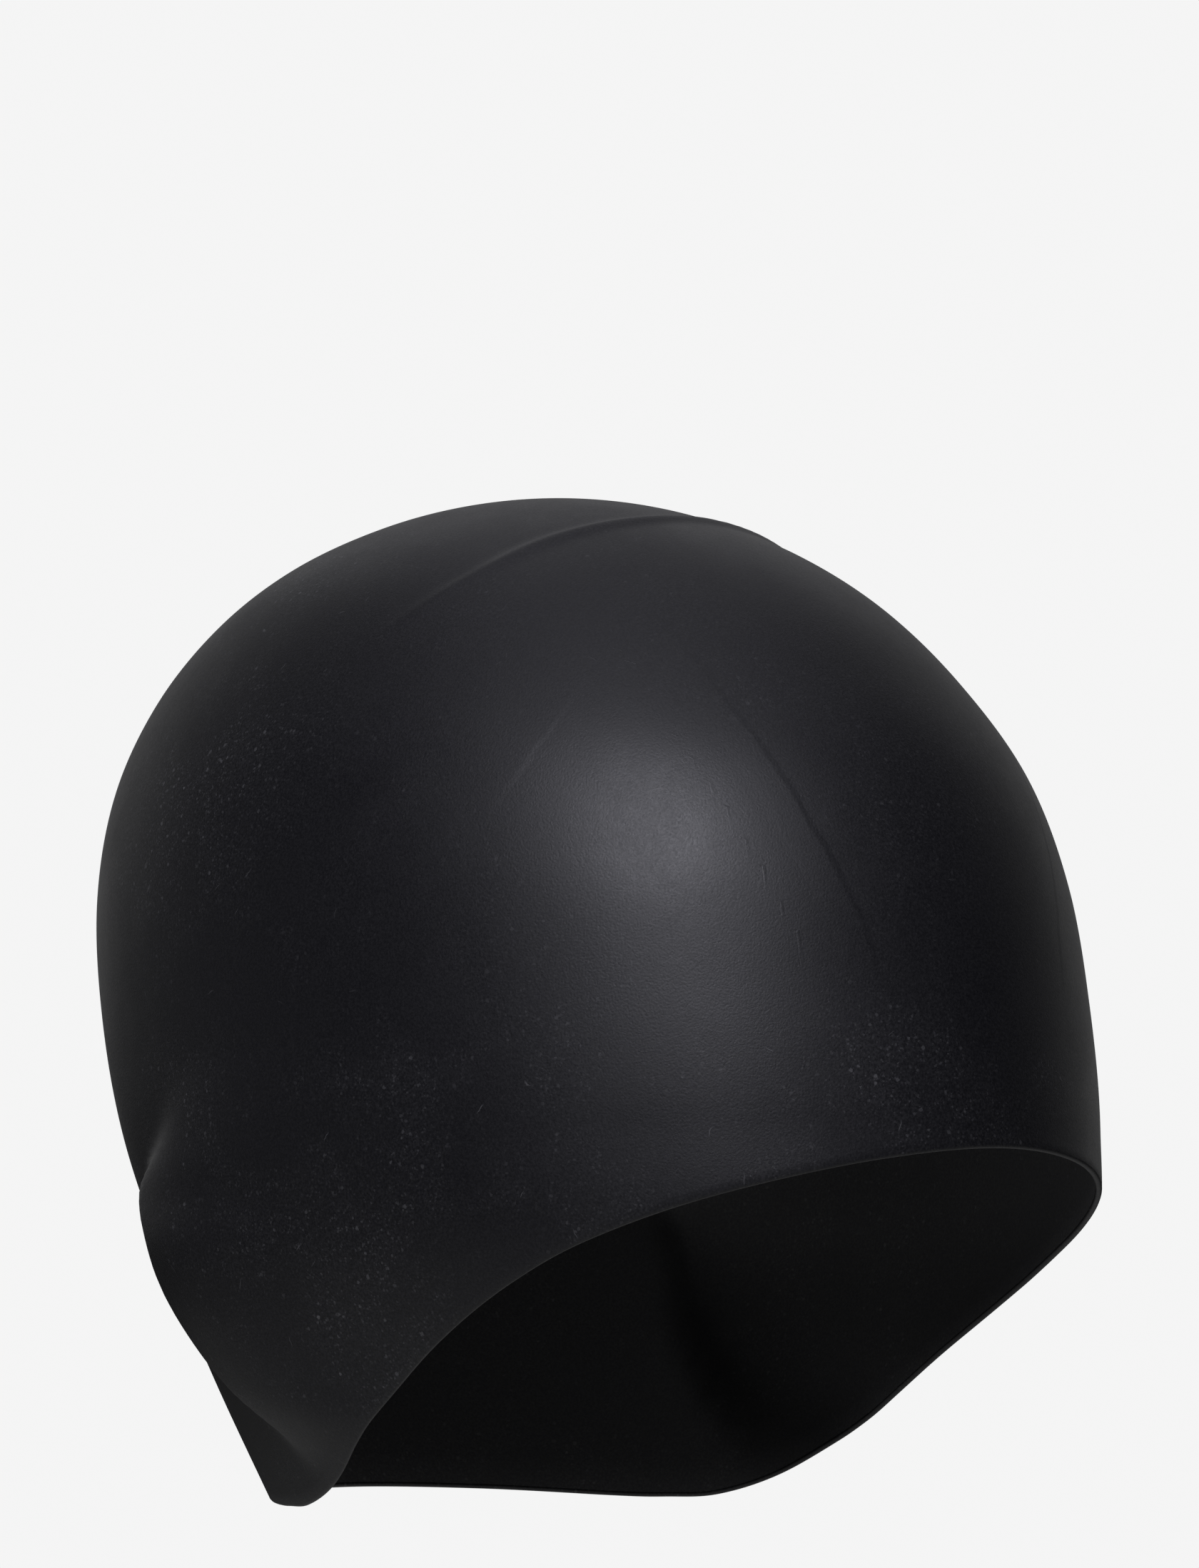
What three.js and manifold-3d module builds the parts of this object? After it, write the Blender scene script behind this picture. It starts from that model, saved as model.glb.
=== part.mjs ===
// A silicone swim cap in the shape that it takes on a head: one moulded sheet, open below.
// The forehead faces -Y, the wearer's right ear -X, and the origin is the inside of the crown,
// where the top of a head would hold it.

import * as THREE from 'three';
import { mergeVertices } from 'three/addons/utils/BufferGeometryUtils.js';
import Module from 'manifold-3d';

// Driving dimensions in millimetres, angles in degrees
const capLength = 197;
const capWidth = 154;
const crownRise = 88;
const wall = 1.2;

// How far the hem lies below the widest level at the forehead, the ears and the nape
const browDrop = 30.5;
const flapDrop = 92;

// How much higher the hem is at the nape than at the ears
const napeLift = 2;

// The swelling that each ear pushes into the sheet: flat on top for earFlat before the fold that
// ends it, and falling away to the face over earReach. A sharper fold drops in less of its width.
const earRise = 6.8;
const earFlat = 8;
const earReach = 26;
const foldSharpness = 2.5;

// The moulded rib that runs over the crown from side to side
const ribWidth = 3.6;
const ribHeight = 0.7;

// Fineness of the mesh
const columnsPerHemRow = 3;
const sheetRows = 22;
const ribSteps = 52;
const ribFacets = 4;

// Level sections from the crown down. up is a share of crownRise and down of flapDrop, both from
// the widest level. size is a share of the full outline, and back of half the length: how far
// the middle of the section lies behind the middle of the head.
const sectionRows = [
  { up: 1, down: 0, size: 0, back: 0.13 },
  { up: 0.985, down: 0, size: 0.178, back: 0.13 },
  { up: 0.94, down: 0, size: 0.352, back: 0.13 },
  { up: 0.86, down: 0, size: 0.53, back: 0.127 },
  { up: 0.745, down: 0, size: 0.688, back: 0.117 },
  { up: 0.59, down: 0, size: 0.825, back: 0.102 },
  { up: 0.4, down: 0, size: 0.932, back: 0.075 },
  { up: 0.18, down: 0, size: 0.988, back: 0.047 },
  { up: 0, down: 0.06, size: 1, back: 0.013 },
  { up: 0, down: 0.29, size: 0.985, back: -0.028 },
  { up: 0, down: 0.52, size: 0.936, back: -0.074 },
  { up: 0, down: 0.76, size: 0.828, back: -0.072 },
  { up: 0, down: 1.02, size: 0.7, back: -0.075 },
];

// The hem from the forehead to the nape, by the angle round the head. ear and nape say how much
// of its fall from the brow's level to the ear's or the nape's it has made.
const hemRows = [
  { angle: 0, ear: 0, nape: 0 },
  { angle: 20, ear: 0.038, nape: 0 },
  { angle: 40, ear: 0.136, nape: 0 },
  { angle: 55, ear: 0.255, nape: 0 },
  { angle: 65, ear: 0.376, nape: 0 },
  { angle: 75, ear: 0.53, nape: 0 },
  { angle: 84, ear: 0.684, nape: 0 },
  { angle: 93, ear: 0.828, nape: 0 },
  { angle: 102, ear: 0.932, nape: 0 },
  { angle: 112, ear: 0.99, nape: 0 },
  { angle: 121, ear: 0.97, nape: 0.03 },
  { angle: 130, ear: 0.9, nape: 0.1 },
  { angle: 153, ear: 0.3, nape: 0.7 },
  { angle: 180, ear: 0, nape: 1 },
];

// The fold behind the ear, where the sheet tucks in towards the neck. down is a share of flapDrop
// below the widest level, rise a share of earRise, and width how wide the fold is in millimetres.
const tuckRows = [
  { down: 0.16, angle: 104, rise: 0, width: 7 },
  { down: 0.3, angle: 113, rise: 0.2, width: 4.5 },
  { down: 0.4, angle: 123, rise: 0.55, width: 2.8 },
  { down: 0.5, angle: 122.5, rise: 0.9, width: 2.2 },
  { down: 0.6, angle: 121.5, rise: 1, width: 2.2 },
  { down: 0.7, angle: 118.5, rise: 0.9, width: 2 },
  { down: 0.78, angle: 115, rise: 0.72, width: 2 },
  { down: 0.83, angle: 111, rise: 0.55, width: 2.2 },
  { down: 0.87, angle: 108, rise: 0.33, width: 3 },
  { down: 0.93, angle: 105, rise: 0.08, width: 5 },
  { down: 1.03, angle: 102, rise: 0, width: 8 },
];

// The rib from the middle of the crown down one side, by angle and share of crownRise
const ribRows = [
  { angle: 0, up: 0.922 },
  { angle: 22, up: 0.911 },
  { angle: 40, up: 0.884 },
  { angle: 54, up: 0.838 },
  { angle: 66, up: 0.758 },
  { angle: 77, up: 0.657 },
];

// A smooth curve through a table's rows, read by row number. The points before and after the
// rows set the direction at its ends.
function curveThrough(before, rows, after) {
  const points = [before, ...rows, after];
  const curve = new THREE.CatmullRomCurve3(points, false, 'catmullrom', 0.5);
  return (row) => curve.getPoint((row + 1) / (points.length - 1));
}

// The point that carries a line on past its end
function pointPast(end, inner) {
  return end.clone().multiplyScalar(2).sub(inner);
}

// Sections as points of size, shift and level
const sectionPoints = sectionRows.map(({ up, down, size, back }) => {
  return new THREE.Vector3(size, (back * capLength) / 2, up * crownRise - down * flapDrop);
});
const mirroredSection = sectionPoints[1].clone();
mirroredSection.x *= -1;
const sectionBelow = pointPast(sectionPoints.at(-1), sectionPoints.at(-2));
const sectionAt = curveThrough(mirroredSection, sectionPoints, sectionBelow);

// Hem as points of angle and level
const hemPoints = hemRows.map(({ angle, ear, nape }) => {
  const earFall = flapDrop - browDrop;
  const level = -browDrop - ear * earFall - nape * (earFall - napeLift);
  return new THREE.Vector3(angle, level, 0);
});
const hemPastBrow = new THREE.Vector3(-hemPoints[1].x, hemPoints[1].y, 0);
const hemPastNape = new THREE.Vector3(360 - hemPoints.at(-2).x, hemPoints.at(-2).y, 0);
const hemAt = curveThrough(hemPastBrow, hemPoints, hemPastNape);

// Fold behind the ear as points of angle, rise and level, and as points of width, rise and level
function foldCurve(firstValue) {
  const points = tuckRows.map((row) => {
    return new THREE.Vector3(row[firstValue], row.rise, -row.down * flapDrop);
  });
  const above = pointPast(points[0], points[1]);
  return curveThrough(above, points, pointPast(points.at(-1), points.at(-2)));
}
const tuckAngleAt = foldCurve('angle');
const tuckWidthAt = foldCurve('width');
const tuckTop = -tuckRows[0].down * flapDrop;

// Rib as points of angle and level
const ribPoints = ribRows.map(({ angle, up }) => new THREE.Vector3(angle, up * crownRise, 0));
const ribPastCrown = new THREE.Vector3(-ribPoints[1].x, ribPoints[1].y, 0);
const ribPastEnd = pointPast(ribPoints.at(-1), ribPoints.at(-2));
const ribAt = curveThrough(ribPastCrown, ribPoints, ribPastEnd);

// Row number at which a curve reaches a level, found by halving
function rowWhere(curve, lastRow, level) {
  let above = 0;
  let below = lastRow;
  for (let halving = 0; halving < 40; halving += 1) {
    const middle = (above + below) / 2;
    if (curve(middle).z > level) {
      above = middle;
    } else {
      below = middle;
    }
  }
  return (above + below) / 2;
}

function rowAtLevel(level) {
  return rowWhere(sectionAt, sectionRows.length, level);
}

// How far an ear pushes the sheet out at an angle and level: highest just before the fold behind
// the ear, soft towards the face, and nothing past the fold
function earPush(angle, level) {
  if (level > tuckTop) {
    return 0;
  }
  const tuckRow = rowWhere(tuckAngleAt, tuckRows.length - 1, level);
  const tuck = tuckAngleAt(tuckRow);
  const beforeTuck = (THREE.MathUtils.degToRad(tuck.x - Math.abs(angle)) * capWidth) / 2;
  const towardsFace = Math.max(beforeTuck - earFlat, 0) / earReach;
  const foldSpan = tuckWidthAt(tuckRow).x / foldSharpness;
  const beforeFold = 1 / (1 + Math.exp(-beforeTuck / foldSpan));
  return earRise * tuck.y * Math.exp(-(towardsFace ** 2)) * beforeFold;
}

// Outer face of the sheet at an angle from the forehead, positive to the wearer's right
function outerPoint(angle, row) {
  const section = sectionAt(row);
  const turn = THREE.MathUtils.degToRad(angle);
  const push = earPush(angle, section.z);
  const halfWidth = (section.x * capWidth) / 2 + push;
  const halfLength = (section.x * capLength) / 2 + push;
  const x = -halfWidth * Math.sin(turn);
  const y = section.y - halfLength * Math.cos(turn);
  return new THREE.Vector3(x, y, section.z);
}

// Direction straight out of the sheet
function outward(angle, row) {
  if (row === 0) {
    return new THREE.Vector3(0, 0, 1);
  }
  const turn = 0.5;
  const fall = Math.min(row, 0.05);
  const around = outerPoint(angle + turn, row).sub(outerPoint(angle - turn, row));
  const downward = outerPoint(angle, row + fall).sub(outerPoint(angle, row - fall));
  return around.cross(downward).normalize();
}

// Joining needs a mesh whose faces share their corners
function toSolid(wasm, geometry) {
  const bare = geometry.clone();
  bare.deleteAttribute('normal');
  bare.deleteAttribute('uv');
  const merged = mergeVertices(bare);
  return new wasm.Manifold(new wasm.Mesh({
    numProp: 3,
    vertProperties: new Float32Array(merged.attributes.position.array),
    triVerts: new Uint32Array(merged.index.array),
  }));
}

// The sheet is a sphere folded in on itself: its upper half is the outer face, from the crown to
// the hem, and its lower half the inner face, from the hem back up to the crown.
function makeSheet() {
  const hemSpans = hemRows.length - 1;
  const rings = 2 * sheetRows + 1;
  const sheet = new THREE.SphereGeometry(1, 2 * hemSpans * columnsPerHemRow, rings);
  const { position, uv } = sheet.attributes;
  for (let i = 0; i < position.count; i += 1) {
    const side = 1 - 2 * uv.getX(i);
    const ring = Math.round((1 - uv.getY(i)) * rings);
    const isInner = ring > sheetRows;
    const ringsDown = isInner ? rings - ring : ring;
    const hem = hemAt(Math.min(Math.abs(side), 1) * hemSpans);
    const angle = Math.sign(side) * hem.x;
    const row = (rowAtLevel(hem.y) * ringsDown) / sheetRows;
    const point = outerPoint(angle, row);
    if (isInner) {
      point.addScaledVector(outward(angle, row), -wall);
    }
    position.setXYZ(i, point.x, point.y, point.z);
  }
  return sheet;
}

// The rib is a box bent along the outer face, with a rounded top. Its edges and ends sink into
// the sheet, and it stops short of the sheet's inner face.
function makeRib() {
  const rib = new THREE.BoxGeometry(2, 1, 1, ribSteps, ribFacets, 1);
  const { position } = rib.attributes;
  const ribSpans = ribRows.length - 1;
  const sink = wall / 4;
  const root = wall / 2;
  const placeAlong = (along) => {
    const place = ribAt(Math.min(Math.abs(along), 1) * ribSpans);
    return { angle: Math.sign(along) * place.x, row: rowAtLevel(place.y) };
  };
  for (let i = 0; i < position.count; i += 1) {
    const along = position.getX(i);
    const across = position.getY(i);
    const { angle, row } = placeAlong(along);
    const step = 0.01;
    const ahead = placeAlong(Math.min(along + step, 1));
    const behind = placeAlong(Math.max(along - step, -1));
    const forward = outerPoint(ahead.angle, ahead.row).sub(outerPoint(behind.angle, behind.row));
    const up = outward(angle, row);
    const sideways = up.clone().cross(forward).normalize();
    const fade = 1 - along ** 4;
    const arch = (ribHeight * fade + sink / 2) * Math.cos(Math.PI * across);
    const lift = position.getZ(i) > 0 ? arch - sink : -root;
    const point = outerPoint(angle, row);
    point.addScaledVector(sideways, across * ribWidth);
    point.addScaledVector(up, lift);
    position.setXYZ(i, point.x, point.y, point.z);
  }
  return rib;
}

const wasm = await Module();
wasm.setup();
const joined = toSolid(wasm, makeSheet()).add(toSolid(wasm, makeRib())).getMesh();
const shellGeometry = new THREE.BufferGeometry();
shellGeometry.setAttribute('position', new THREE.BufferAttribute(joined.vertProperties, 3));
shellGeometry.setIndex(new THREE.BufferAttribute(joined.triVerts, 1));
shellGeometry.computeVertexNormals();

const silicone = new THREE.MeshStandardMaterial({ color: 0x1c1c1e, roughness: 0.45, metalness: 0 });

const capShell = new THREE.Mesh(shellGeometry, silicone);
capShell.name = 'cap_shell';
const crown = sectionPoints[0];
capShell.position.set(0, -crown.y, wall - crown.z);

const swimCap = new THREE.Group();
swimCap.add(capShell);

export default swimCap;
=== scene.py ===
import math

import bmesh
import bpy
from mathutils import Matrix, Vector
from mathutils.kdtree import KDTree


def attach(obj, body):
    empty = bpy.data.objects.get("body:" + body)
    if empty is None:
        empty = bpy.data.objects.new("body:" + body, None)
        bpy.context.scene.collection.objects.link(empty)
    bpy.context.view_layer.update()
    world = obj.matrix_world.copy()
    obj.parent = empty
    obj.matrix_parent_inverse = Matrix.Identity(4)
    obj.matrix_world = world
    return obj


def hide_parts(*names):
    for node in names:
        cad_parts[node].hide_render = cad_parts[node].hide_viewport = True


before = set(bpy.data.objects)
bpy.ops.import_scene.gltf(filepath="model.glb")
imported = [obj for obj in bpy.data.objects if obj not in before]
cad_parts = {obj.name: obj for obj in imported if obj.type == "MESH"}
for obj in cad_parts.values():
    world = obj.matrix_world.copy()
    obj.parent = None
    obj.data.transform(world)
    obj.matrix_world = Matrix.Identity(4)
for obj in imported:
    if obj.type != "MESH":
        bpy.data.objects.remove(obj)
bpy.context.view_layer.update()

# The camera stands a little below the middle of the cap, in front of the wearer's right temple.
# The forehead faces -Y and the wearer's right is -X. The origin is the inside of the crown.
crown_rise = 0.088
cap_length = 0.197
cap_width = 0.154
wall = 0.0012
crown_back = 0.13
cap_middle = Vector((0, -crown_back * cap_length / 2, wall - crown_rise))

camera_turn = -44
camera_tilt = -3
camera_distance = 1.168
aim_to_right = 0.0013
aim_up = 0.0359


def direction_to(turn, tilt):
    """Direction from the cap, by degrees round from the forehead and degrees up."""
    turn = math.radians(turn)
    tilt = math.radians(tilt)
    return Vector((
        math.sin(turn) * math.cos(tilt),
        -math.cos(turn) * math.cos(tilt),
        math.sin(tilt),
    ))


toward_camera = direction_to(camera_turn, camera_tilt)
camera_right = direction_to(camera_turn + 90, 0)
camera_up = toward_camera.cross(camera_right)
aim = cap_middle + aim_to_right * camera_right + aim_up * camera_up
camera_place = cap_middle + camera_distance * toward_camera

camera_data = bpy.data.cameras.new("camera")
camera_data.lens = 150
camera_data.sensor_width = 36
camera = bpy.data.objects.new("camera", camera_data)
camera.location = camera_place
camera.rotation_euler = (aim - camera_place).to_track_quat("-Z", "Y").to_euler()
bpy.context.scene.collection.objects.link(camera)
bpy.context.scene.camera = camera


# Cap shell: one sheet of black silicone, moulded as a dome and stretched by the head to this
# shape. It swells over each ear, tucks in behind it, and has a low rib across the crown.
flap_drop = 0.092
brow_drop = 0.0305
nape_lift = 0.002

section_rows = [
    # share of crown_rise up, share of flap_drop down, size, shift to the back
    {"up": 1, "down": 0, "size": 0, "back": crown_back},
    {"up": 0.985, "down": 0, "size": 0.178, "back": 0.13},
    {"up": 0.94, "down": 0, "size": 0.352, "back": 0.13},
    {"up": 0.86, "down": 0, "size": 0.53, "back": 0.127},
    {"up": 0.745, "down": 0, "size": 0.688, "back": 0.117},
    {"up": 0.59, "down": 0, "size": 0.825, "back": 0.102},
    {"up": 0.4, "down": 0, "size": 0.932, "back": 0.075},
    {"up": 0.18, "down": 0, "size": 0.988, "back": 0.047},
    {"up": 0, "down": 0.06, "size": 1, "back": 0.013},
    {"up": 0, "down": 0.29, "size": 0.985, "back": -0.028},
    {"up": 0, "down": 0.52, "size": 0.936, "back": -0.074},
    {"up": 0, "down": 0.76, "size": 0.828, "back": -0.072},
    {"up": 0, "down": 1.02, "size": 0.7, "back": -0.075},
]

hem_rows = [
    # angle from the forehead, share of the fall to the ear's hem and to the nape's
    {"angle": 0, "ear": 0, "nape": 0},
    {"angle": 20, "ear": 0.038, "nape": 0},
    {"angle": 40, "ear": 0.136, "nape": 0},
    {"angle": 55, "ear": 0.255, "nape": 0},
    {"angle": 65, "ear": 0.376, "nape": 0},
    {"angle": 75, "ear": 0.53, "nape": 0},
    {"angle": 84, "ear": 0.684, "nape": 0},
    {"angle": 93, "ear": 0.828, "nape": 0},
    {"angle": 102, "ear": 0.932, "nape": 0},
    {"angle": 112, "ear": 0.99, "nape": 0},
    {"angle": 121, "ear": 0.97, "nape": 0.03},
    {"angle": 130, "ear": 0.9, "nape": 0.1},
    {"angle": 153, "ear": 0.3, "nape": 0.7},
    {"angle": 180, "ear": 0, "nape": 1},
]


def curve_through(before, rows, after):
    """A smooth curve through the rows, read by row number; before and after set its ends."""
    points = [before, *rows, after]

    def at(row):
        start = min(max(int(row), 0), len(rows) - 2)
        step = row - start
        value = []
        for a, b, c, d in zip(*points[start:start + 4]):
            slope_b = (c - a) / 2
            slope_c = (d - b) / 2
            bend = 2 * (b - c) + slope_b + slope_c
            lean = 3 * (c - b) - 2 * slope_b - slope_c
            value.append(b + slope_b * step + lean * step ** 2 + bend * step ** 3)
        return value

    return at


sections = [
    (row["size"], row["back"] * cap_length / 2, row["up"] * crown_rise - row["down"] * flap_drop)
    for row in section_rows
]
mirrored_section = (-sections[1][0], sections[1][1], sections[1][2])
section_below = [2 * last - before for last, before in zip(sections[-1], sections[-2])]
section_at = curve_through(mirrored_section, sections, section_below)

hem = [
    (
        row["angle"],
        -brow_drop - row["ear"] * (flap_drop - brow_drop)
        - row["nape"] * (flap_drop - nape_lift - brow_drop),
    )
    for row in hem_rows
]
hem_at = curve_through((-hem[1][0], hem[1][1]), hem, (360 - hem[-2][0], hem[-2][1]))


def row_where(curve, last_row, column, level):
    """The row number at which a curve's column has fallen to a level, found by halving."""
    halvings = 26
    above = 0
    below = last_row
    for _ in range(halvings):
        middle = (above + below) / 2
        if curve(middle)[column] > level:
            above = middle
        else:
            below = middle
    return (above + below) / 2


def row_at_level(level):
    """The row number at which the sheet has fallen to a level."""
    return row_where(section_at, len(sections) - 1, 2, level)


ear_rise = 0.0068
ear_reach = 0.026
ear_flat = 0.008
fold_sharpness = 2.5

tuck_rows = [
    # share of flap_drop down, angle of the fold behind the ear, share of ear_rise before it,
    # and how many millimetres wide the fold is
    {"down": 0.16, "angle": 104, "rise": 0, "width": 7},
    {"down": 0.3, "angle": 113, "rise": 0.2, "width": 4.5},
    {"down": 0.4, "angle": 123, "rise": 0.55, "width": 2.8},
    {"down": 0.5, "angle": 122.5, "rise": 0.9, "width": 2.2},
    {"down": 0.6, "angle": 121.5, "rise": 1, "width": 2.2},
    {"down": 0.7, "angle": 118.5, "rise": 0.9, "width": 2},
    {"down": 0.78, "angle": 115, "rise": 0.72, "width": 2},
    {"down": 0.83, "angle": 111, "rise": 0.55, "width": 2.2},
    {"down": 0.87, "angle": 108, "rise": 0.33, "width": 3},
    {"down": 0.93, "angle": 105, "rise": 0.08, "width": 5},
    {"down": 1.03, "angle": 102, "rise": 0, "width": 8},
]
tucks = [
    (row["angle"], row["rise"], -row["down"] * flap_drop, row["width"] / 1000)
    for row in tuck_rows
]
tuck_above = [2 * a - b for a, b in zip(tucks[0], tucks[1])]
tuck_below = [2 * a - b for a, b in zip(tucks[-1], tucks[-2])]
tuck_at = curve_through(tuck_above, tucks, tuck_below)
tuck_of_level = {}


def ear_push(angle, level):
    """How far an ear pushes the sheet out: softly to the face, with a fold behind the ear."""
    if level > tucks[0][2]:
        return 0
    key = round(level, 5)
    if key not in tuck_of_level:
        tuck_of_level[key] = tuck_at(row_where(tuck_at, len(tucks) - 1, 2, level))
    tuck_angle, rise, _, width = tuck_of_level[key]
    before_tuck = math.radians(tuck_angle - abs(angle)) * cap_width / 2
    forward = max(before_tuck - ear_flat, 0) / ear_reach
    fold = 1 / (1 + math.exp(-fold_sharpness * before_tuck / width))
    return ear_rise * rise * math.exp(-forward ** 2) * fold


def sheet_point(angle, row):
    """Outer face of the sheet at an angle from the forehead, positive to the wearer's right."""
    size, shift, level = section_at(row)
    turn = math.radians(angle)
    push = ear_push(angle, level)
    x = -(size * cap_width / 2 + push) * math.sin(turn)
    y = shift - (size * cap_length / 2 + push) * math.cos(turn)
    return cap_middle + Vector((x, y, level))


crown_row = 0.001
row_step = 0.02
angle_step = 0.3


def sheet_outward(angle, row):
    """Direction straight out of the sheet, from points a small step away on each side."""
    if row < crown_row:
        return Vector((0, 0, 1))
    fall = min(row, row_step)
    around = sheet_point(angle + angle_step, row) - sheet_point(angle - angle_step, row)
    downward = sheet_point(angle, row + fall) - sheet_point(angle, row - fall)
    return around.cross(downward).normalized()


# The rib moulded over the crown. It runs down each side by angle and share of crown_rise.
rib_rows = [(0, 0.922), (22, 0.911), (40, 0.884), (54, 0.838), (66, 0.758), (77, 0.657)]
rib_width = 0.0017
rib_rise = 0.0007
rib_steps = 200
rib_other_side = (-rib_rows[1][0], rib_rows[1][1])
rib_past_end = (88, 0.556)
rib_line = curve_through(rib_other_side, rib_rows, rib_past_end)
rib_points = KDTree(2 * (rib_steps + 1))
rib_fade = []
for step in range(rib_steps + 1):
    along = step / rib_steps
    angle, share = rib_line(along * (len(rib_rows) - 1))
    row = row_at_level(share * crown_rise)
    for side in (-1, 1):
        rib_points.insert(sheet_point(side * angle, row), len(rib_fade))
        rib_fade.append(1 - along ** 4)
rib_points.balance()


def rib_height(point):
    """How far the rib raises the outer face at a point."""
    _, nearest, distance = rib_points.find(point)
    return rib_rise * rib_fade[nearest] * math.exp(-(distance / rib_width) ** 2)


# Two soft creases left by packing, from their upper ends down. The mesh carries how far a point
# lies across the nearest one, and how strong it is there, for the material to draw it finely.
crease_rows = [
    {
        "strength": 1,
        "line": [(33.5, 0.65), (30, 0.52), (26, 0.38), (22.3, 0.22), (18.7, 0.07), (17.5, -0.06)],
    },
    {"strength": 0.45, "line": [(47.5, 0.54), (53, 0.43), (61, 0.27)]},
]
crease_steps = 120
crease_reach = 0.012
crease_top_strength = 0.3
crease_growth = 1.2
crease_points = KDTree(2 * len(crease_rows) * (crease_steps + 1))
crease_places = []
for crease in crease_rows:
    rows = crease["line"]
    above = [2 * a - b for a, b in zip(rows[0], rows[1])]
    below = [2 * a - b for a, b in zip(rows[-1], rows[-2])]
    line_at = curve_through(above, rows, below)
    for side in (-1, 1):
        before = None
        for step in range(crease_steps + 1):
            along = step / crease_steps
            angle, share = line_at(along * (len(rows) - 1))
            row = row_at_level(share * crown_rise)
            place = sheet_point(side * angle, row)
            ahead = place - before if before else Vector((0, 0, -1))
            before = place
            to_forehead = ahead.cross(sheet_outward(side * angle, row)).normalized()
            if to_forehead.y > 0:
                to_forehead.negate()
            grown = min(1, crease_top_strength + crease_growth * along)
            fade = crease["strength"] * grown * (1 - along ** 6)
            crease_points.insert(place, len(crease_places))
            crease_places.append((place, to_forehead, fade))
crease_points.balance()


def crease_at(point):
    """How far a point lies towards the forehead from the nearest crease, and its strength."""
    _, nearest, distance = crease_points.find(point)
    if distance > crease_reach:
        return crease_reach, 0
    place, to_forehead, fade = crease_places[nearest]
    nearness = min(1, 4 * (1 - distance / crease_reach))
    return (point - place).dot(to_forehead), fade * nearness


# The sheet starts as a ball. Its rings run from the crown down the outside, round the hem's edge,
# and up the inside to the crown again.
columns = 360
outer_rings = 180
hem_rings = 5
inner_rings = 60
ring_spread = 1.2
rings = outer_rings + hem_rings + inner_rings
hem_spans = len(hem_rows) - 1

shell = bmesh.new()
across_layer = shell.verts.layers.float.new("crease_across")
strength_layer = shell.verts.layers.float.new("crease_strength")
bmesh.ops.create_uvsphere(shell, u_segments=columns, v_segments=rings, radius=1)
hem_of_side = {}
rings_down = {}
for vert in shell.verts:
    rings_down[vert] = round(math.acos(max(-1, min(1, vert.co.z))) / math.pi * rings)
for face in shell.faces:
    is_inner = min(rings_down[vert] for vert in face.verts) >= outer_rings + hem_rings
    face.material_index = 1 if is_inner else 0
for vert, ring in rings_down.items():
    side = math.atan2(-vert.co.x, -vert.co.y) / math.pi
    side = round(side * columns / 2) / (columns / 2)
    if side not in hem_of_side:
        angle, level = hem_at(abs(side) * hem_spans)
        hem_of_side[side] = (math.copysign(angle, side), row_at_level(level))
    angle, hem_row = hem_of_side[side]
    if ring <= outer_rings:
        row = hem_row * (ring / outer_rings) ** ring_spread
        point = sheet_point(angle, row)
        vert.co = point + rib_height(point) * sheet_outward(angle, row)
        vert[across_layer], vert[strength_layer] = crease_at(point)
    elif ring < outer_rings + hem_rings:
        turn = math.pi * (ring - outer_rings) / hem_rings
        outward = sheet_outward(angle, hem_row)
        past_hem = sheet_point(angle, hem_row + row_step / 2)
        past_hem -= sheet_point(angle, hem_row - row_step / 2)
        middle = sheet_point(angle, hem_row) - outward * wall / 2
        vert.co = middle + outward * (math.cos(turn) * wall / 2)
        vert.co += past_hem.normalized() * (math.sin(turn) * wall / 2)
    else:
        row = hem_row * ((rings - ring) / inner_rings) ** ring_spread
        vert.co = sheet_point(angle, row) - wall * sheet_outward(angle, row)

shell_mesh = bpy.data.meshes.new("cap_sheet")
shell.to_mesh(shell_mesh)
shell.free()
shell_mesh.shade_smooth()
cap_sheet = bpy.data.objects.new("cap_sheet", shell_mesh)
bpy.context.scene.collection.objects.link(cap_sheet)


# Grain of the mould, fine and even
grain = bpy.data.node_groups.new("moulding_grain", "ShaderNodeTree")
grain.interface.new_socket(name="Place", in_out="INPUT", socket_type="NodeSocketVector")
grain.interface.new_socket(name="Fineness", in_out="INPUT", socket_type="NodeSocketFloat")
grain.interface.new_socket(name="Height", in_out="OUTPUT", socket_type="NodeSocketFloat")
grain_in = grain.nodes.new("NodeGroupInput")
grain_out = grain.nodes.new("NodeGroupOutput")
grain_noise = grain.nodes.new("ShaderNodeTexNoise")
grain_noise.inputs["Detail"].default_value = 2
grain.links.new(grain_in.outputs["Place"], grain_noise.inputs["Vector"])
grain.links.new(grain_in.outputs["Fineness"], grain_noise.inputs["Scale"])
grain.links.new(grain_noise.outputs["Fac"], grain_out.inputs["Height"])

# Dust: a thin bloom of powder everywhere, and ragged specks of three sizes in drifting patches.
# Each cell's colour decides whether the cell holds a speck, and how big the speck is.
dust = bpy.data.node_groups.new("settled_dust", "ShaderNodeTree")
dust.interface.new_socket(name="Place", in_out="INPUT", socket_type="NodeSocketVector")
dust.interface.new_socket(name="Cover", in_out="INPUT", socket_type="NodeSocketFloat")
dust.interface.new_socket(name="Bloom", in_out="INPUT", socket_type="NodeSocketFloat")
dust.interface.new_socket(name="Mask", in_out="OUTPUT", socket_type="NodeSocketFloat")
dust_in = dust.nodes.new("NodeGroupInput")
dust_out = dust.nodes.new("NodeGroupOutput")
patches = dust.nodes.new("ShaderNodeTexNoise")
patches.inputs["Scale"].default_value = 27
patches.inputs["Detail"].default_value = 6
patches.inputs["Roughness"].default_value = 0.68
patch_edge = dust.nodes.new("ShaderNodeMapRange")
patch_edge.interpolation_type = "SMOOTHSTEP"
patch_edge.inputs["From Min"].default_value = 0.41
patch_edge.inputs["From Max"].default_value = 0.64
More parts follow.
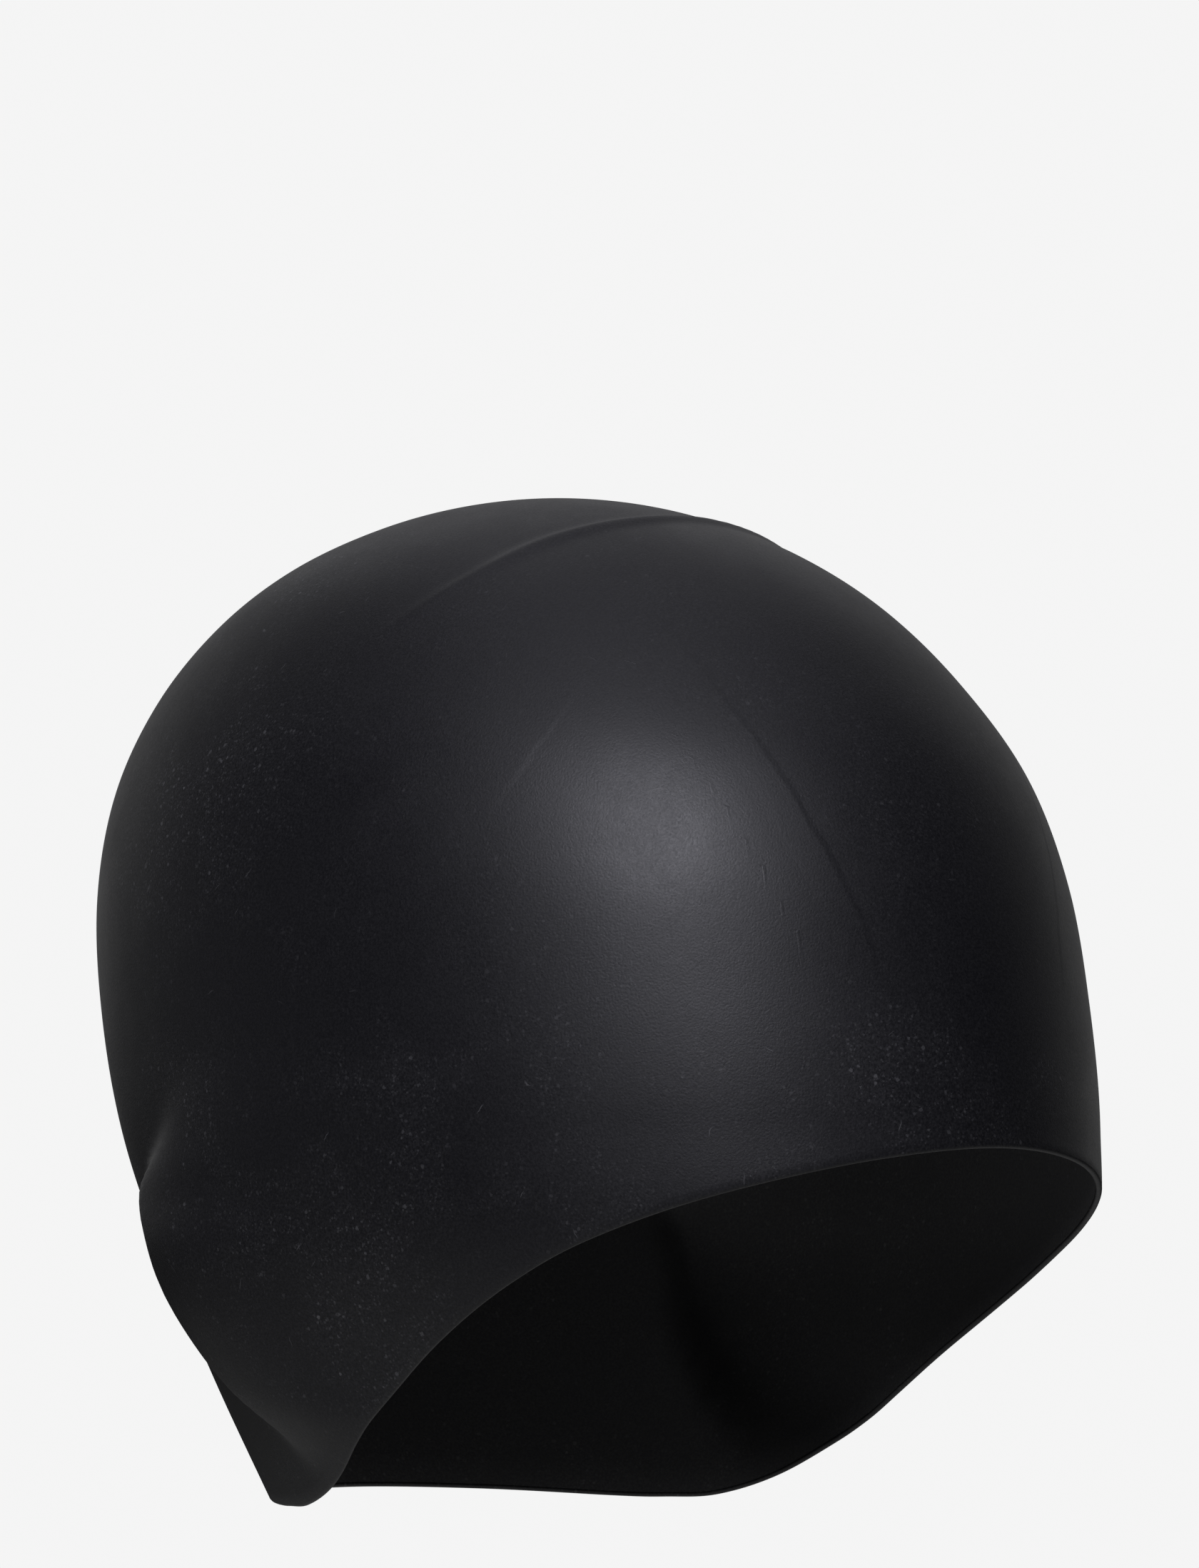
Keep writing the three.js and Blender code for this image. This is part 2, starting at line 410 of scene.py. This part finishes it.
patch_edge.inputs["To Min"].default_value = 0.08
patch_cover = dust.nodes.new("ShaderNodeMath")
patch_cover.operation = "MULTIPLY"
raggedness = dust.nodes.new("ShaderNodeTexNoise")
raggedness.inputs["Scale"].default_value = 2400
ragged_place = dust.nodes.new("ShaderNodeVectorMath")
ragged_place.operation = "MULTIPLY_ADD"
ragged_place.inputs[1].default_value = (0.0006, 0.0006, 0.0006)
dust.links.new(dust_in.outputs["Place"], patches.inputs["Vector"])
dust.links.new(patches.outputs["Fac"], patch_edge.inputs["Value"])
dust.links.new(patch_edge.outputs["Result"], patch_cover.inputs[0])
dust.links.new(dust_in.outputs["Cover"], patch_cover.inputs[1])
dust.links.new(dust_in.outputs["Place"], raggedness.inputs["Vector"])
dust.links.new(raggedness.outputs["Color"], ragged_place.inputs[0])
dust.links.new(dust_in.outputs["Place"], ragged_place.inputs[2])
speck_sizes = [
    # cells in a metre, the share of cells left empty, the largest speck's radius in cells, and
    # how bright
    {"cells": 1900, "empty": 0.5, "radius": 0.6, "bright": 0.3},
    {"cells": 800, "empty": 0.6, "radius": 0.36, "bright": 0.55},
    {"cells": 260, "empty": 0.55, "radius": 0.12, "bright": 1},
]
specks = None
for size in speck_sizes:
    cells = dust.nodes.new("ShaderNodeTexVoronoi")
    cells.inputs["Scale"].default_value = size["cells"]
    chance = dust.nodes.new("ShaderNodeSeparateColor")
    radius = dust.nodes.new("ShaderNodeMapRange")
    radius.clamp = False
    radius.inputs["From Min"].default_value = size["empty"]
    radius.inputs["To Max"].default_value = size["radius"]
    inside_speck = dust.nodes.new("ShaderNodeMath")
    inside_speck.operation = "SUBTRACT"
    bright = dust.nodes.new("ShaderNodeMapRange")
    bright.inputs["From Max"].default_value = size["radius"] / 3
    bright.inputs["To Max"].default_value = size["bright"]
    dust.links.new(ragged_place.outputs["Vector"], cells.inputs["Vector"])
    dust.links.new(cells.outputs["Color"], chance.inputs["Color"])
    dust.links.new(chance.outputs["Red"], radius.inputs["Value"])
    dust.links.new(radius.outputs["Result"], inside_speck.inputs[0])
    dust.links.new(cells.outputs["Distance"], inside_speck.inputs[1])
    dust.links.new(inside_speck.outputs["Value"], bright.inputs["Value"])
    if specks is None:
        specks = bright.outputs["Result"]
    else:
        both = dust.nodes.new("ShaderNodeMath")
        both.operation = "MAXIMUM"
        dust.links.new(specks, both.inputs[0])
        dust.links.new(bright.outputs["Result"], both.inputs[1])
        specks = both.outputs["Value"]
gathered = dust.nodes.new("ShaderNodeMath")
gathered.operation = "MULTIPLY"
powder = dust.nodes.new("ShaderNodeTexNoise")
powder.inputs["Scale"].default_value = 2300
powder.inputs["Detail"].default_value = 1
powder_grains = dust.nodes.new("ShaderNodeMapRange")
powder_grains.inputs["From Min"].default_value = 0.36
powder_grains.inputs["From Max"].default_value = 0.68
powder_cover = dust.nodes.new("ShaderNodeMath")
powder_cover.operation = "MULTIPLY_ADD"
powder_cover.inputs[1].default_value = 0.08
bloom = dust.nodes.new("ShaderNodeMath")
bloom.operation = "MULTIPLY"
all_dust = dust.nodes.new("ShaderNodeMath")
all_dust.use_clamp = True
dust.links.new(specks, gathered.inputs[0])
dust.links.new(patch_cover.outputs["Value"], gathered.inputs[1])
dust.links.new(dust_in.outputs["Place"], powder.inputs["Vector"])
dust.links.new(powder.outputs["Fac"], powder_grains.inputs["Value"])
dust.links.new(patch_cover.outputs["Value"], powder_cover.inputs[0])
dust.links.new(dust_in.outputs["Bloom"], powder_cover.inputs[2])
dust.links.new(powder_grains.outputs["Result"], bloom.inputs[0])
dust.links.new(powder_cover.outputs["Value"], bloom.inputs[1])
dust.links.new(gathered.outputs["Value"], all_dust.inputs[0])
dust.links.new(bloom.outputs["Value"], all_dust.inputs[1])
dust.links.new(all_dust.outputs["Value"], dust_out.inputs["Mask"])

# Smears: cloudy handling marks that change the sheen a little
smears = bpy.data.node_groups.new("handling_smears", "ShaderNodeTree")
smears.interface.new_socket(name="Place", in_out="INPUT", socket_type="NodeSocketVector")
smears.interface.new_socket(name="Low", in_out="INPUT", socket_type="NodeSocketFloat")
smears.interface.new_socket(name="High", in_out="INPUT", socket_type="NodeSocketFloat")
smears.interface.new_socket(name="Value", in_out="OUTPUT", socket_type="NodeSocketFloat")
smears_in = smears.nodes.new("NodeGroupInput")
smears_out = smears.nodes.new("NodeGroupOutput")
clouds = smears.nodes.new("ShaderNodeTexNoise")
clouds.inputs["Scale"].default_value = 45
clouds.inputs["Detail"].default_value = 6
clouds.inputs["Roughness"].default_value = 0.68
clouds.inputs["Distortion"].default_value = 0.4
between = smears.nodes.new("ShaderNodeMapRange")
between.inputs["From Min"].default_value = 0.3
between.inputs["From Max"].default_value = 0.7
smears.links.new(smears_in.outputs["Place"], clouds.inputs["Vector"])
smears.links.new(clouds.outputs["Fac"], between.inputs["Value"])
smears.links.new(smears_in.outputs["Low"], between.inputs["To Min"])
smears.links.new(smears_in.outputs["High"], between.inputs["To Max"])
smears.links.new(between.outputs["Result"], smears_out.inputs["Value"])


def silicone(name, tint, dust_tint, cover, bloom, sheen, fineness, grain_depth):
    """Black silicone with a satin moulding grain, smears and settled dust."""
    material = bpy.data.materials.new(name)
    material.use_nodes = True
    nodes = material.node_tree.nodes
    links = material.node_tree.links
    place = nodes.new("ShaderNodeTexCoord").outputs["Object"]

    smeared = nodes.new("ShaderNodeGroup")
    smeared.node_tree = smears
    smeared.inputs["Low"].default_value = sheen[0]
    smeared.inputs["High"].default_value = sheen[1]
    dusted = nodes.new("ShaderNodeGroup")
    dusted.node_tree = dust
    dusted.name = "dust"
    dusted.inputs["Cover"].default_value = cover
    dusted.inputs["Bloom"].default_value = bloom
    grained = nodes.new("ShaderNodeGroup")
    grained.node_tree = grain
    grained.inputs["Fineness"].default_value = fineness
    links.new(place, smeared.inputs["Place"])
    links.new(place, dusted.inputs["Place"])
    links.new(place, grained.inputs["Place"])

    colour = nodes.new("ShaderNodeMix")
    colour.name = "dust_colour"
    colour.data_type = "RGBA"
    colour.inputs["A"].default_value = (*tint, 1)
    colour.inputs["B"].default_value = (*dust_tint, 1)
    relief = nodes.new("ShaderNodeBump")
    relief.name = "grain_relief"
    relief.inputs["Strength"].default_value = 1
    relief.inputs["Distance"].default_value = grain_depth
    uneven_sheen = nodes.new("ShaderNodeMath")
    uneven_sheen.operation = "MULTIPLY_ADD"
    uneven_sheen.inputs[1].default_value = 0.18
    shader = nodes["Principled BSDF"]
    links.new(dusted.outputs["Mask"], colour.inputs["Factor"])
    links.new(colour.outputs["Result"], shader.inputs["Base Color"])
    links.new(grained.outputs["Height"], uneven_sheen.inputs[0])
    links.new(smeared.outputs["Value"], uneven_sheen.inputs[2])
    links.new(uneven_sheen.outputs["Value"], shader.inputs["Roughness"])
    links.new(grained.outputs["Height"], relief.inputs["Height"])
    links.new(relief.outputs["Normal"], shader.inputs["Normal"])
    return material


outside = silicone(
    name="silicone_outside",
    tint=(0.005, 0.005, 0.0067),
    dust_tint=(0.12, 0.12, 0.126),
    cover=1,
    bloom=0.05,
    sheen=(0.36, 0.43),
    fineness=2700,
    grain_depth=0.000035,
)
# The inside is lifted far above the outside's black, in its grey tint and pale powder: partly a
# talc dusting, partly painted fill light, so that the shaded inside shows its form.
inside = silicone(
    name="silicone_inside",
    tint=(0.075, 0.075, 0.08),
    dust_tint=(0.3, 0.3, 0.3),
    cover=0.6,
    bloom=0.1,
    sheen=(0.52, 0.67),
    fineness=1300,
    grain_depth=0.00004,
)

# Where hands pull the cap on, most dust clings: behind the temples and along the brow's hem
outside_nodes = outside.node_tree.nodes
outside_links = outside.node_tree.links
outside_place = outside_nodes.new("ShaderNodeTexCoord")
handled_axes = outside_nodes.new("ShaderNodeSeparateXYZ")
handled_side = outside_nodes.new("ShaderNodeMapRange")
handled_side.interpolation_type = "SMOOTHSTEP"
handled_side.inputs["From Min"].default_value = -0.024
handled_side.inputs["From Max"].default_value = 0.012
handled_side.inputs["To Min"].default_value = 0.3
handled_hem = outside_nodes.new("ShaderNodeMapRange")
handled_hem.interpolation_type = "SMOOTHSTEP"
handled_hem.inputs["From Min"].default_value = -0.084
handled_hem.inputs["From Max"].default_value = -0.108
handled = outside_nodes.new("ShaderNodeMath")
handled.operation = "MAXIMUM"
outside_links.new(outside_place.outputs["Object"], handled_axes.inputs["Vector"])
outside_links.new(handled_axes.outputs["Y"], handled_side.inputs["Value"])
outside_links.new(handled_axes.outputs["Z"], handled_hem.inputs["Value"])
outside_links.new(handled_side.outputs["Result"], handled.inputs[0])
outside_links.new(handled_hem.outputs["Result"], handled.inputs[1])
outside_links.new(handled.outputs["Value"], outside_nodes["dust"].inputs["Cover"])

# Lint on the outside: thin flat discs scattered in space, which the sheet cuts in short lines
lint_bend = outside_nodes.new("ShaderNodeTexNoise")
lint_bend.inputs["Scale"].default_value = 420
lint_bent = outside_nodes.new("ShaderNodeVectorMath")
lint_bent.operation = "MULTIPLY_ADD"
lint_bent.inputs[1].default_value = (0.0014, 0.0014, 0.0014)
lint_cells = outside_nodes.new("ShaderNodeTexVoronoi")
lint_cells.inputs["Scale"].default_value = 110
lint_offset = outside_nodes.new("ShaderNodeVectorMath")
lint_offset.operation = "SUBTRACT"
lint_lean = outside_nodes.new("ShaderNodeVectorMath")
lint_lean.operation = "SUBTRACT"
lint_lean.inputs[1].default_value = (0.5, 0.5, 0.5)
lint_axis = outside_nodes.new("ShaderNodeVectorMath")
lint_axis.operation = "NORMALIZE"
lint_across = outside_nodes.new("ShaderNodeVectorMath")
lint_across.operation = "DOT_PRODUCT"
lint_gap = outside_nodes.new("ShaderNodeMath")
lint_gap.operation = "ABSOLUTE"
lint_line = outside_nodes.new("ShaderNodeMapRange")
lint_line.inputs["From Min"].default_value = 0.00003
lint_line.inputs["From Max"].default_value = 0.0001
lint_line.inputs["To Min"].default_value = 1
lint_line.inputs["To Max"].default_value = 0
lint_reach = outside_nodes.new("ShaderNodeVectorMath")
lint_reach.operation = "LENGTH"
lint_end = outside_nodes.new("ShaderNodeMapRange")
lint_end.inputs["From Min"].default_value = 0.0004
lint_end.inputs["From Max"].default_value = 0.0011
lint_end.inputs["To Min"].default_value = 0.6
lint_end.inputs["To Max"].default_value = 0
lint_mask = outside_nodes.new("ShaderNodeMath")
lint_mask.operation = "MULTIPLY"
lint_cover = outside_nodes.new("ShaderNodeMath")
lint_cover.operation = "MULTIPLY"
dust_and_lint = outside_nodes.new("ShaderNodeMath")
dust_and_lint.operation = "MAXIMUM"
outside_links.new(outside_place.outputs["Object"], lint_bend.inputs["Vector"])
outside_links.new(lint_bend.outputs["Color"], lint_bent.inputs[0])
outside_links.new(outside_place.outputs["Object"], lint_bent.inputs[2])
outside_links.new(lint_bent.outputs["Vector"], lint_cells.inputs["Vector"])
outside_links.new(lint_bent.outputs["Vector"], lint_offset.inputs[0])
outside_links.new(lint_cells.outputs["Position"], lint_offset.inputs[1])
outside_links.new(lint_cells.outputs["Color"], lint_lean.inputs[0])
outside_links.new(lint_lean.outputs["Vector"], lint_axis.inputs[0])
outside_links.new(lint_offset.outputs["Vector"], lint_across.inputs[0])
outside_links.new(lint_axis.outputs["Vector"], lint_across.inputs[1])
outside_links.new(lint_across.outputs["Value"], lint_gap.inputs[0])
outside_links.new(lint_gap.outputs["Value"], lint_line.inputs["Value"])
outside_links.new(lint_offset.outputs["Vector"], lint_reach.inputs[0])
outside_links.new(lint_reach.outputs["Value"], lint_end.inputs["Value"])
outside_links.new(lint_line.outputs["Result"], lint_mask.inputs[0])
outside_links.new(lint_end.outputs["Result"], lint_mask.inputs[1])
lint_colour = outside_nodes["dust_colour"].inputs["Factor"]
outside_links.new(lint_colour.links[0].from_socket, dust_and_lint.inputs[0])
outside_links.new(lint_mask.outputs["Value"], lint_cover.inputs[0])
outside_links.new(handled.outputs["Value"], lint_cover.inputs[1])
outside_links.new(lint_cover.outputs["Value"], dust_and_lint.inputs[1])
outside_links.new(dust_and_lint.outputs["Value"], lint_colour)

# Creases on the outside: the sheet rises gently to each one and drops sharply past it
crease_across = outside_nodes.new("ShaderNodeAttribute")
crease_across.attribute_name = "crease_across"
crease_strength = outside_nodes.new("ShaderNodeAttribute")
crease_strength.attribute_name = "crease_strength"
crease_waver = outside_nodes.new("ShaderNodeTexNoise")
crease_waver.inputs["Scale"].default_value = 110
crease_wavered = outside_nodes.new("ShaderNodeMath")
crease_wavered.operation = "MULTIPLY_ADD"
crease_wavered.inputs[1].default_value = 0.0016
crease_slope = outside_nodes.new("ShaderNodeMapRange")
crease_slope.inputs["From Min"].default_value = -0.005
crease_slope.inputs["From Max"].default_value = 0.0008
crease_drop = outside_nodes.new("ShaderNodeMapRange")
crease_drop.interpolation_type = "SMOOTHSTEP"
crease_drop.inputs["From Min"].default_value = 0.0004
crease_drop.inputs["From Max"].default_value = 0.002
crease_drop.inputs["To Min"].default_value = 1
crease_drop.inputs["To Max"].default_value = 0
crease_shape = outside_nodes.new("ShaderNodeMath")
crease_shape.operation = "MULTIPLY"
crease_height = outside_nodes.new("ShaderNodeMath")
crease_height.operation = "MULTIPLY"
crease_relief = outside_nodes.new("ShaderNodeBump")
crease_relief.inputs["Strength"].default_value = 1
crease_relief.inputs["Distance"].default_value = 0.00008
outside_links.new(outside_place.outputs["Object"], crease_waver.inputs["Vector"])
outside_links.new(crease_waver.outputs["Fac"], crease_wavered.inputs[0])
outside_links.new(crease_across.outputs["Fac"], crease_wavered.inputs[2])
outside_links.new(crease_wavered.outputs["Value"], crease_slope.inputs["Value"])
outside_links.new(crease_wavered.outputs["Value"], crease_drop.inputs["Value"])
outside_links.new(crease_slope.outputs["Result"], crease_shape.inputs[0])
outside_links.new(crease_drop.outputs["Result"], crease_shape.inputs[1])
outside_links.new(crease_shape.outputs["Value"], crease_height.inputs[0])
outside_links.new(crease_strength.outputs["Fac"], crease_height.inputs[1])
outside_links.new(crease_height.outputs["Value"], crease_relief.inputs["Height"])
outside_links.new(crease_relief.outputs["Normal"], outside_nodes["grain_relief"].inputs["Normal"])

shell_mesh.materials.append(outside)
shell_mesh.materials.append(inside)
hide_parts("cap_shell")
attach(cap_sheet, "root")


# Studio: a plain pale floor well below the cap, clear when seen from below, soft boxes around it,
# and a pale room whose light comes mostly from behind the cap, where it lights the edges.
floor_drop = 0.34
backdrop_white = 0.91
floor_shape = bmesh.new()
bmesh.ops.create_circle(floor_shape, cap_ends=True, segments=96, radius=12)
bmesh.ops.translate(floor_shape, verts=floor_shape.verts, vec=(0, 0, -floor_drop))
floor_mesh = bpy.data.meshes.new("floor")
floor_shape.to_mesh(floor_mesh)
floor_shape.free()
floor = bpy.data.objects.new("floor", floor_mesh)
bpy.context.scene.collection.objects.link(floor)

floor_material = bpy.data.materials.new("pale_floor")
floor_material.use_nodes = True
floor_nodes = floor_material.node_tree.nodes
floor_links = floor_material.node_tree.links
floor_nodes.clear()
floor_place = floor_nodes.new("ShaderNodeTexCoord")
floor_reach = floor_nodes.new("ShaderNodeVectorMath")
floor_reach.operation = "DISTANCE"
floor_reach.inputs[1].default_value = (0, 0, -floor_drop)
floor_light = floor_nodes.new("ShaderNodeMapRange")
floor_light.interpolation_type = "SMOOTHSTEP"
floor_light.inputs["From Min"].default_value = 0.1
floor_light.inputs["From Max"].default_value = 0.9
floor_light.inputs["To Min"].default_value = 0.3
floor_light.inputs["To Max"].default_value = 0
floor_ray = floor_nodes.new("ShaderNodeLightPath")
floor_seen = floor_nodes.new("ShaderNodeMix")
floor_seen.inputs["B"].default_value = backdrop_white
floor_glow = floor_nodes.new("ShaderNodeEmission")
floor_facing = floor_nodes.new("ShaderNodeNewGeometry")
floor_clear = floor_nodes.new("ShaderNodeBsdfTransparent")
floor_sides = floor_nodes.new("ShaderNodeMixShader")
floor_output = floor_nodes.new("ShaderNodeOutputMaterial")
floor_links.new(floor_place.outputs["Object"], floor_reach.inputs[0])
floor_links.new(floor_reach.outputs["Value"], floor_light.inputs["Value"])
floor_links.new(floor_ray.outputs["Is Camera Ray"], floor_seen.inputs["Factor"])
floor_links.new(floor_light.outputs["Result"], floor_seen.inputs["A"])
floor_links.new(floor_seen.outputs["Result"], floor_glow.inputs["Strength"])
floor_links.new(floor_facing.outputs["Backfacing"], floor_sides.inputs["Fac"])
floor_links.new(floor_glow.outputs["Emission"], floor_sides.inputs[1])
floor_links.new(floor_clear.outputs["BSDF"], floor_sides.inputs[2])
floor_links.new(floor_sides.outputs["Shader"], floor_output.inputs["Surface"])
floor_mesh.materials.append(floor_material)

world = bpy.data.worlds.new("studio")
bpy.context.scene.world = world
world.use_nodes = True
world_nodes = world.node_tree.nodes
world_links = world.node_tree.links
world_nodes.clear()
world_direction = world_nodes.new("ShaderNodeTexCoord")
behind = world_nodes.new("ShaderNodeVectorMath")
behind.operation = "DOT_PRODUCT"
behind.inputs[1].default_value = -toward_camera
falloff = world_nodes.new("ShaderNodeMapRange")
falloff.interpolation_type = "SMOOTHSTEP"
falloff.inputs["From Min"].default_value = 0.2
falloff.inputs["From Max"].default_value = 1
falloff.inputs["To Min"].default_value = 0
falloff.inputs["To Max"].default_value = 0.34
world_ray = world_nodes.new("ShaderNodeLightPath")
world_seen = world_nodes.new("ShaderNodeMix")
world_seen.inputs["B"].default_value = backdrop_white
world_glow = world_nodes.new("ShaderNodeBackground")
world_glow.inputs["Color"].default_value = (1, 1, 1, 1)
world_output = world_nodes.new("ShaderNodeOutputWorld")
world_links.new(world_direction.outputs["Generated"], behind.inputs[0])
world_links.new(behind.outputs["Value"], falloff.inputs["Value"])
world_links.new(world_ray.outputs["Is Camera Ray"], world_seen.inputs["Factor"])
world_links.new(falloff.outputs["Result"], world_seen.inputs["A"])
world_links.new(world_seen.outputs["Result"], world_glow.inputs["Strength"])
world_links.new(world_glow.outputs["Background"], world_output.inputs["Surface"])

soft_boxes = [
    # degrees round from the forehead, degrees up, metres from the cap, metres wide, and watts
    {"name": "key_box", "turn": -50, "tilt": 35, "away": 1.5, "width": 0.65, "power": 14.8},
    {"name": "top_box", "turn": -60, "tilt": 80, "away": 1.6, "width": 1.6, "power": 3},
    {"name": "back_box", "turn": 136, "tilt": 55, "away": 1.6, "width": 1.4, "power": 1},
    {"name": "low_box", "turn": -140, "tilt": -8, "away": 1.5, "width": 0.9, "power": 0.4},
]
for soft_box in soft_boxes:
    light = bpy.data.lights.new(soft_box["name"], "AREA")
    light.size = soft_box["width"]
    light.energy = soft_box["power"]
    light.color = (0.965, 0.96, 1.06)
    lamp = bpy.data.objects.new(soft_box["name"], light)
    direction = direction_to(soft_box["turn"], soft_box["tilt"])
    lamp.location = cap_middle + soft_box["away"] * direction
    lamp.rotation_euler = (-direction).to_track_quat("-Z", "Y").to_euler()
    bpy.context.scene.collection.objects.link(lamp)

bpy.context.scene.view_settings.view_transform = "Standard"
